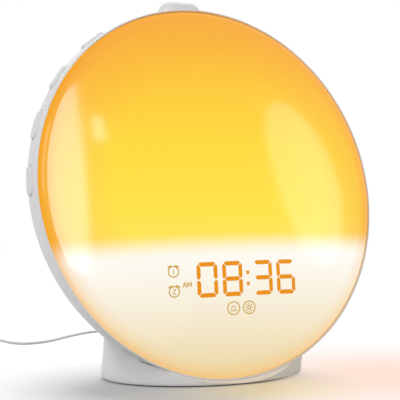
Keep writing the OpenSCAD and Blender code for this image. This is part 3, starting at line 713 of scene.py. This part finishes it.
def snooze_key():
    cap = stadium("snooze_key_cap", SNOOZE_L, SNOOZE_W, SNOOZE_RISE, roll=SNOOZE_ROLL, steps=10,
        sink=SNOOZE_SINK)
    place(cap, on_rim(TOP_ANGLE, SNOOZE_H, wall_radius(SNOOZE_H)))
    smooth(cap, 50)
    finished(cap, KEY, "snooze_key_body", "key_white", "snooze_key")


side_keys()
snooze_key()

# ---------------------------------------------------------------------------
# Diffuser
# ---------------------------------------------------------------------------


def dome_height(r):
    return DOME_C + math.sqrt(DOME_R ** 2 - r * r)


def front_diffuser():
    """The dome from its middle out, round the rolled edge, and back along the inside."""
    roll_middle = DIFFUSER_R - EDGE_R
    inner_edge_r = EDGE_R - DIFFUSER_WALL
    tangent = math.asin(roll_middle / (DOME_R - EDGE_R))
    rings = [(r, dome_height(r)) for r in (1, 8, 16, 24, 32, 40, 48, 56, 64, 70, 76, 80)]
    rings += [(roll_middle + EDGE_R * math.sin(a), -EDGE_SINK + EDGE_R * math.cos(a))
        for a in (tangent + (math.pi / 2 - tangent) * i / 12 for i in range(13))]
    rings += [(DIFFUSER_R, -DIFFUSER_SKIRT), (DIFFUSER_R - DIFFUSER_WALL, -DIFFUSER_SKIRT),
        (DIFFUSER_R - DIFFUSER_WALL, -EDGE_SINK)]
    rings += [(roll_middle + inner_edge_r * math.sin(a), -EDGE_SINK + inner_edge_r * math.cos(a))
        for a in (math.pi / 2 - (math.pi / 2 - tangent) * i / 4 for i in range(1, 5))]
    rings += [(r, dome_height(r) - DIFFUSER_WALL) for r in (70, 50, 30, 10, 1)]
    obj = turned("diffuser_face", rings, segments=192)
    smooth(obj, 40)
    return obj


# ---------------------------------------------------------------------------
# Lit marks on the diffuser: the time, two alarm signs, AM, a bell and a sun
# ---------------------------------------------------------------------------

MARK_RISE, MARK_WALL = 0.05, 0.04
STROKE, DIGIT_W, DIGIT_H = 1.95, 10.4, 15.7
DIGIT_Y, DIGIT_PITCH, PAIR_OFF = -42.7, 12.9, 14.55
COLON_X, COLON_UP, COLON_HALF = 7.4, 2.5, 0.8
SHOWN = ("abcdef", "abcdefg", "abcdg", "acdefg")
LINE = 0.56
ALARM_R, ALARM_WIDE = 2.6, 1.04
ALARM_SIGNS = ((-30, -38.2), (-30, -47))
MERIDIEM_AT = (-25.8, -45.55)
ROUND_R, ROUND_WIDE, ROUND_WIDE_INSIDE = 3.1, 1.1, 1.12
BELL_SIGN, SUN_SIGN = (-0.8, -55.9), (7.4, -55.9)


def segment(letter):
    """The outline of one bar of a digit, about the digit's middle."""
    w, h, t, c, g, k = DIGIT_W / 2, DIGIT_H / 2, STROKE, 1.7, 0.2, 0.1
    top = [(-w + c + k, h), (w - c - k, h), (w - c / 2 - k, h - c / 2 + k), (w - t - g, h - t),
        (-w + t + g, h - t), (-w + c / 2 + k, h - c / 2 + k)]
    upper = [(w, h - c - k), (w, 0.9), (w - 0.6, g), (w - t / 2, g), (w - t, t / 2 + g), (w - t, h - t - g),
        (w - c / 2 + k, h - c / 2 - k)]
    middle = [(-w + t / 2 + g, 0), (-w + t + g, t / 2), (w - t - g, t / 2), (w - t / 2 - g, 0),
        (w - t - g, -t / 2), (-w + t + g, -t / 2)]
    if letter in "ad":
        return [(x, y if letter == "a" else -y) for x, y in top]
    if letter == "g":
        return middle
    return [(x if letter in "bc" else -x, y if letter in "bf" else -y) for x, y in upper]


def circle(cx, cy, r, steps=40, wide=1.0):
    angles = [2 * math.pi * i / steps for i in range(steps)]
    return [(cx + wide * r * math.cos(a), cy + r * math.sin(a)) for a in angles]


def box_outline(cx, cy, half):
    return [(cx - half, cy - half), (cx + half, cy - half), (cx + half, cy + half), (cx - half, cy + half)]


def bar(x0, y0, x1, y1, width):
    """A straight stroke between two points."""
    along = Vector((x1 - x0, y1 - y0)).normalized()
    side = Vector((-along.y, along.x)) * width / 2
    return [(x0 + side.x, y0 + side.y), (x0 - side.x, y0 - side.y), (x1 - side.x, y1 - side.y),
        (x1 + side.x, y1 + side.y)]


def alarm_sign(cx, cy, second):
    """A small alarm clock with its two bells and a figure on its dial, as rings and strokes."""
    dial_y = cy - 0.2
    rings = [[circle(cx, dial_y, r, wide=ALARM_WIDE) for r in (ALARM_R, ALARM_R - LINE)]]
    strokes = [bar(cx + s * 0.9, cy + 2.5, cx + s * 2.7, cy + 1.7, 0.75) for s in (-1, 1)]
    if second:
        strokes.append(bar(cx - 0.75, cy + 0.8, cx + 0.75, cy + 0.8, 0.4))
        strokes.append(bar(cx + 0.65, cy + 0.6, cx - 0.65, cy - 1.0, 0.4))
        strokes.append(bar(cx - 0.75, cy - 1.2, cx + 0.75, cy - 1.2, 0.4))
    else:
        strokes.append(bar(cx, cy - 1.4, cx, cy + 1.0, 0.45))
    return rings, strokes


def meridiem_sign(x0, y0):
    """The letters A and M, from strokes only."""
    h, t = 2.3, 0.5
    a = [bar(x0, y0, x0 + 0.85, y0 + h, t), bar(x0 + 1.7, y0, x0 + 0.85, y0 + h, t),
        bar(x0 + 0.4, y0 + 0.75, x0 + 1.3, y0 + 0.75, 0.4)]
    x1 = x0 + 2.25
    m = [bar(x1, y0, x1, y0 + h, t), bar(x1 + 1.85, y0, x1 + 1.85, y0 + h, t),
        bar(x1, y0 + h, x1 + 0.92, y0 + 0.6, t), bar(x1 + 1.85, y0 + h, x1 + 0.92, y0 + 0.6, t)]
    return [], a + m


def round_border(cx, cy):
    return [circle(cx, cy, ROUND_R, wide=ROUND_WIDE), circle(cx, cy, ROUND_R - LINE, wide=ROUND_WIDE_INSIDE)]


def bell_sign(cx, cy):
    strokes = [bar(cx - 1.5, cy - 1.0, cx + 1.5, cy - 1.0, 0.36)]
    strokes += [bar(cx + s * 1.2, cy - 0.9, cx + s * 0.7, cy + 1.0, 0.36) for s in (-1, 1)]
    strokes.append(bar(cx - 0.75, cy + 0.9, cx + 0.75, cy + 0.9, 0.4))
    strokes.append(bar(cx - 0.3, cy - 1.5, cx + 0.3, cy - 1.5, 0.4))
    return [round_border(cx, cy)], strokes


def sun_sign(cx, cy):
    rings = [round_border(cx, cy), [circle(cx, cy, r, 24) for r in (1.05, 0.55)]]
    near, far = 1.25, 2.15
    strokes = []
    for i in range(8):
        x, y = math.cos(math.pi * i / 4), math.sin(math.pi * i / 4)
        strokes.append(bar(cx + near * x, cy + near * y, cx + far * x, cy + far * y, 0.42))
    return rings, strokes


def flat_marks(name, outlines):
    """A flat curve filled between closed outlines, made a mesh."""
    curve = bpy.data.curves.new(name, "CURVE")
    curve.dimensions = "2D"
    curve.fill_mode = "BOTH"
    for outline in outlines:
        spline = curve.splines.new("POLY")
        spline.points.add(len(outline) - 1)
        for point, (x, y) in zip(spline.points, outline):
            point.co = (x * MM, y * MM, 0, 1)
        spline.use_cyclic_u = True
    obj = bpy.data.objects.new(name, curve)
    bpy.context.scene.collection.objects.link(obj)
    only(obj)
    bpy.ops.object.convert(target="MESH")
    return bpy.context.object


def lay_on_face(obj, face):
    """Presses flat marks onto the diffuser's outer face, as a thin lit layer."""
    only(obj)
    bpy.ops.object.mode_set(mode="EDIT")
    bpy.ops.mesh.select_all(action="SELECT")
    bpy.ops.mesh.subdivide(number_cuts=1)
    bpy.ops.transform.translate(value=(0, 0, 30 * MM))
    bpy.ops.object.mode_set(mode="OBJECT")
    wrap = obj.modifiers.new("wrap", "SHRINKWRAP")
    wrap.target = face
    wrap.wrap_method = "PROJECT"
    wrap.use_project_z = True
    wrap.use_negative_direction = True
    wrap.use_positive_direction = False
    wrap.offset = MARK_RISE * MM
    thick = obj.modifiers.new("thick", "SOLIDIFY")
    thick.thickness = MARK_WALL * MM
    thick.offset = -1
    apply_all(obj)
    place(obj, in_metres(FACE))


def lit_digits():
    """The time, 08:36, in bars and a colon."""
    middles = [COLON_X + side * PAIR_OFF + step * DIGIT_PITCH / 2 for side in (-1, 1) for step in (-1, 1)]
    outlines = [[(x + cx, y + DIGIT_Y) for x, y in segment(letter)]
        for cx, letters in zip(middles, SHOWN) for letter in letters]
    outlines += [box_outline(COLON_X, DIGIT_Y + side * COLON_UP, COLON_HALF) for side in (-1, 1)]
    return flat_marks("lit_digits", outlines)


def lit_icons():
    """The small signs. Strokes that cross would cancel in one filled curve, so each is its own curve."""
    signs = [alarm_sign(*ALARM_SIGNS[0], False), alarm_sign(*ALARM_SIGNS[1], True),
        meridiem_sign(*MERIDIEM_AT), bell_sign(*BELL_SIGN), sun_sign(*SUN_SIGN)]
    parts = []
    for rings, strokes in signs:
        parts += [flat_marks("icon_ring", ring) for ring in rings]
        parts += [flat_marks("icon_stroke", [stroke]) for stroke in strokes]
    return joined(parts, "lit_icons")


diffuser = front_diffuser()
digit_marks = lit_digits()
icon_marks = lit_icons()
for marks in (digit_marks, icon_marks):
    lay_on_face(marks, diffuser)
place(diffuser, in_metres(FACE))
finished(diffuser, DIFFUSER, "clock", "diffuser_lit", "front_diffuser")
finished(digit_marks, DIGIT, "clock", "digit_orange")
finished(icon_marks, ICON, "clock", "icon_gold")

# ---------------------------------------------------------------------------
# Aerial wire: out of its gland, down to the table, round in a loose loop, and into its coil
# ---------------------------------------------------------------------------

WIRE_D = 1.4
WIRE_LIE = WIRE_D / 2 + 0.05
WIRE_STEPS = 5
COIL_AT = Vector((-60, 166, 0))
TURN_RADII = (9.8, 8.4, 7.0, 7.0, 8.4, 9.8, 9.8, 8.4, 7.0)
LAYER_TURNS = 3
PER_TURN = 24

outlet_n = Vector((-math.sin(OUTLET_TURN), math.cos(OUTLET_TURN), 0))
route = [OUTLET_AT + outlet_n * t for t in (2.6, 7.0)]
route += [Vector(p) for p in ((-22, 44, 7.4), (-21.7, 50, 4.4), (-20, 57, 1.8))]
route += [Vector((x, y, WIRE_LIE)) for x, y in ((-16.5, 65), (-10, 78), (-2, 92), (7, 106), (18, 120),
    (29.5, 134), (37.5, 147), (40, 159), (37, 168), (31, 172.5), (23.5, 172), (14, 168), (0, 158),
    (-14, 146.5), (-25, 140.5), (-33.5, 140.5), (-38.5, 147), (-39.5, 156), (-42, 168), (-48, 174.8),
    (-60, 175.8))]


def spline_point(points, i, t):
    """A point between points i and i + 1 on the smooth curve through all of them."""
    a, b, c, d = points[max(i - 1, 0)], points[i], points[i + 1], points[min(i + 2, len(points) - 1)]
    curved = (2 * a - 5 * b + 4 * c - d) * t * t + (3 * b - a - 3 * c + d) * t ** 3
    return 0.5 * (2 * b + (c - a) * t + curved)


def coil_points():
    """The coil's turns, three to a layer, each easing over from the one before it."""
    points = []
    for turn, turn_r in enumerate(TURN_RADII):
        before = TURN_RADII[max(turn - 1, 0)]
        layer = turn // LAYER_TURNS
        for i in range(PER_TURN):
            share = i / PER_TURN
            ease = min(share * 4, 1)
            r = before + (turn_r - before) * ease
            level = layer
            if layer and turn % LAYER_TURNS == 0:
                level = layer - 1 + ease
            a = math.pi / 2 + 2 * math.pi * share
            points.append(COIL_AT + Vector((r * math.cos(a), r * math.sin(a), WIRE_LIE + WIRE_D * level)))
    return points


def aerial_wire():
    path = [spline_point(route, i, k / WIRE_STEPS) for i in range(len(route) - 1) for k in range(WIRE_STEPS)]
    path += coil_points()
    curve = bpy.data.curves.new("aerial_wire_run", "CURVE")
    curve.dimensions = "3D"
    curve.bevel_depth = WIRE_D / 2 * MM
    curve.bevel_resolution = 3
    curve.use_fill_caps = True
    spline = curve.splines.new("POLY")
    spline.points.add(len(path) - 1)
    for point, at in zip(spline.points, path):
        point.co = (*(at * MM), 1)
    curve.materials.append(AERIAL)
    wire = bpy.data.objects.new("aerial_wire_run", curve)
    bpy.context.scene.collection.objects.link(wire)
    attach(wire, "clock")
    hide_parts("aerial_wire", "aerial_coil")


aerial_wire()

# ---------------------------------------------------------------------------
# Finishes of the pieces kept as they were built
# ---------------------------------------------------------------------------

FINISHES = {
    # The gasket in the seam takes the same painted shade and painted glow.
    SEAM_PAINTED_SHADE: ("seam_gasket",),
    WHITE_INSIDE: ("reflector_bowl", "light_divider", "display_module"),
    BOARD_WHITE: ("led_board",),
    LED: ("sunrise_leds",),
    BOARD: ("display_board", "main_board", "snooze_board", "port_board"),
    STEEL: ("led_board_screws", "display_screws", "main_board_screws", "snooze_board_screws", "base_screws",
        "port_board_screws", "coin_cell", "speaker_magnet", "usb_socket"),
    BRASS: ("main_board_spacers",),
    BLACK: ("main_board_chips", "cell_holder", "speaker_frame", "left_key_switches", "right_key_switches",
        "snooze_switch", "power_socket"),
    FLEX: ("left_key_board", "right_key_board"),
    CONE: ("speaker_cone",),
    FOAM: ("speaker_gasket",),
    LEAD: ("power_lead", "speaker_lead"),
    HOUSING: ("speaker_grille", "base_plate", "aerial_gland"),
    GRIP: ("grip_pad",),
    DIGIT: ("time_digits",),
    ICON: ("indicator_icons",),
}
for material, names in FINISHES.items():
    for name in names:
        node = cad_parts[name]
        node.data.materials.clear()
        node.data.materials.append(material)

# ---------------------------------------------------------------------------
# Floor, backdrop and light. From here on, places and sizes are in metres.
# ---------------------------------------------------------------------------


def seen_plain(tree):
    """1 for what is seen straight, in a mirror or through glass, and 0 for the light that bounces on."""
    paths = tree.nodes.new("ShaderNodeLightPath")
    seen = paths.outputs["Is Camera Ray"]
    for ray in ("Is Glossy Ray", "Is Transmission Ray"):
        either = tree.nodes.new("ShaderNodeMath")
        either.operation = "MAXIMUM"
        tree.links.new(seen, either.inputs[0])
        tree.links.new(paths.outputs[ray], either.inputs[1])
        seen = either.outputs[0]
    return seen


def painted_glow_pool(paper, x, y, near, far):
    """A mask for a painted pool of the lit face's warm light on the paper: 1 close to a place on the table, 0
    away from it.
    """
    return paper.ramp(paper.distance((x, y, 0)), [(near, grey(1)), (far, grey(0))], smooth_steps=True)


def floor_paper():
    """Pale paper that shows the real shadow near the clock, with a painted even glow, painted warm glows from
    the lit face, and a painted fade into plain white away from it that shapes the shadow's soft edge.
    """
    paper = Finish("floor_paper", srgb(202, 202, 202), 0.6)
    paper.shader.inputs["Specular IOR Level"].default_value = 0.2
    cloud = paper.ramp(paper.noise(40), [(0.3, srgb(186, 186, 186)), (0.7, srgb(190, 190, 190))])
    # Painted pool of light: the lit face's warm glow on the table, painted into the paper's colour.
    painted_warm_pool = paper.mix(painted_glow_pool(paper, 0.022, -0.062, 0.01, 0.07), cloud, srgb(232, 214, 168))
    paper.link(painted_warm_pool, paper.shader.inputs["Base Color"])
    # Painted light: an even glow that lightens the floor's real shading near the clock.
    painted_lift = paper.node("ShaderNodeEmission")
    painted_lift.inputs["Strength"].default_value = 0.10
    near_clock = paper.node("ShaderNodeAddShader")
    paper.link(paper.shader.outputs[0], near_clock.inputs[0])
    paper.link(painted_lift.outputs[0], near_clock.inputs[1])
    white = paper.node("ShaderNodeEmission")
    white.inputs["Strength"].default_value = 1.0
    # Painted glow: the plain white seen away from the clock is tinted pink where the lit face's light would
    # fall.
    painted_pink_glow = paper.mix(painted_glow_pool(paper, 0.075, -0.05, 0.01, 0.13), grey(1.0), srgb(255, 228, 212))
    paper.link(painted_pink_glow, white.inputs["Color"])
    # Painted shadow edge: the fade, centred off the clock where its shadow lies, turns the real shading into
    # painted plain white, so the shadow's soft outer edge is painted.
    painted_shadow_edge = paper.ramp(paper.distance((-0.027, -0.026, 0)), [(0.040, grey(0)), (0.088, grey(1))])
    looked_at = paper.mix_shaders(painted_shadow_edge, near_clock.outputs[0], white.outputs[0])
    surface = paper.mix_shaders(seen_plain(paper.tree), paper.shader.outputs[0], looked_at)
    paper.link(surface, paper.tree.nodes["Material Output"].inputs["Surface"])
    return paper.material


def studio_sky():
    """A white sky that lights the clock at a lower level than it shows."""
    world = bpy.data.worlds.new("studio")
    bpy.context.scene.world = world
    world.use_nodes = True
    sky = world.node_tree
    background = sky.nodes["Background"]
    background.inputs["Color"].default_value = (1, 1, 1, 1)
    background.inputs["Strength"].default_value = 0.52
    white_sky = sky.nodes.new("ShaderNodeBackground")
    white_sky.inputs["Color"].default_value = (1, 1, 1, 1)
    mixed = sky.nodes.new("ShaderNodeMixShader")
    sky.links.new(seen_plain(sky), mixed.inputs["Fac"])
    sky.links.new(background.outputs[0], mixed.inputs[1])
    sky.links.new(white_sky.outputs[0], mixed.inputs[2])
    sky.links.new(mixed.outputs[0], sky.nodes["World Output"].inputs["Surface"])


def softbox(name, at, aim, size, power, color=(1, 1, 1), shape="RECTANGLE"):
    lamp = bpy.data.lights.new(name, "AREA")
    lamp.shape = shape
    lamp.size, lamp.size_y = size
    lamp.energy = power
    lamp.color = color
    obj = bpy.data.objects.new(name, lamp)
    obj.location = at
    obj.rotation_euler = (Vector(aim) - Vector(at)).to_track_quat("-Z", "Y").to_euler()
    bpy.context.scene.collection.objects.link(obj)
    return obj


def lights():
    """Two lights on the housing, and three that show only as reflections in the face."""
    middle = (0, 0, 0.1)
    key_light = softbox("key_light", (0.42, 0.58, 0.95), (0, 0, 0.05), (0.6, 0.6), 9)
    key_light.visible_glossy = False
    softbox("left_light", (-1.1, -0.5, 0.8), middle, (0.7, 0.7), 6)
    strip = softbox("front_strip", (-0.14, -1.1, 0.64), middle, (0.24, 0.88), 6, color=(1, 0.84, 1))
    small = softbox("small_lamp", (0.065, -0.98, 0.80), middle, (0.045, 0.11), 0.14)
    wide = softbox("wide_light", (1.0, -0.75, 0.5), middle, (0.36, 0.7), 1.8, shape="ELLIPSE")
    for shine in (strip, small, wide):
        shine.visible_diffuse = False


start_fresh()
bpy.ops.mesh.primitive_plane_add(size=8, location=(0, 0, 0))
floor = bpy.context.object
floor.name = "floor"
floor.data.materials.append(floor_paper())
studio_sky()
lights()
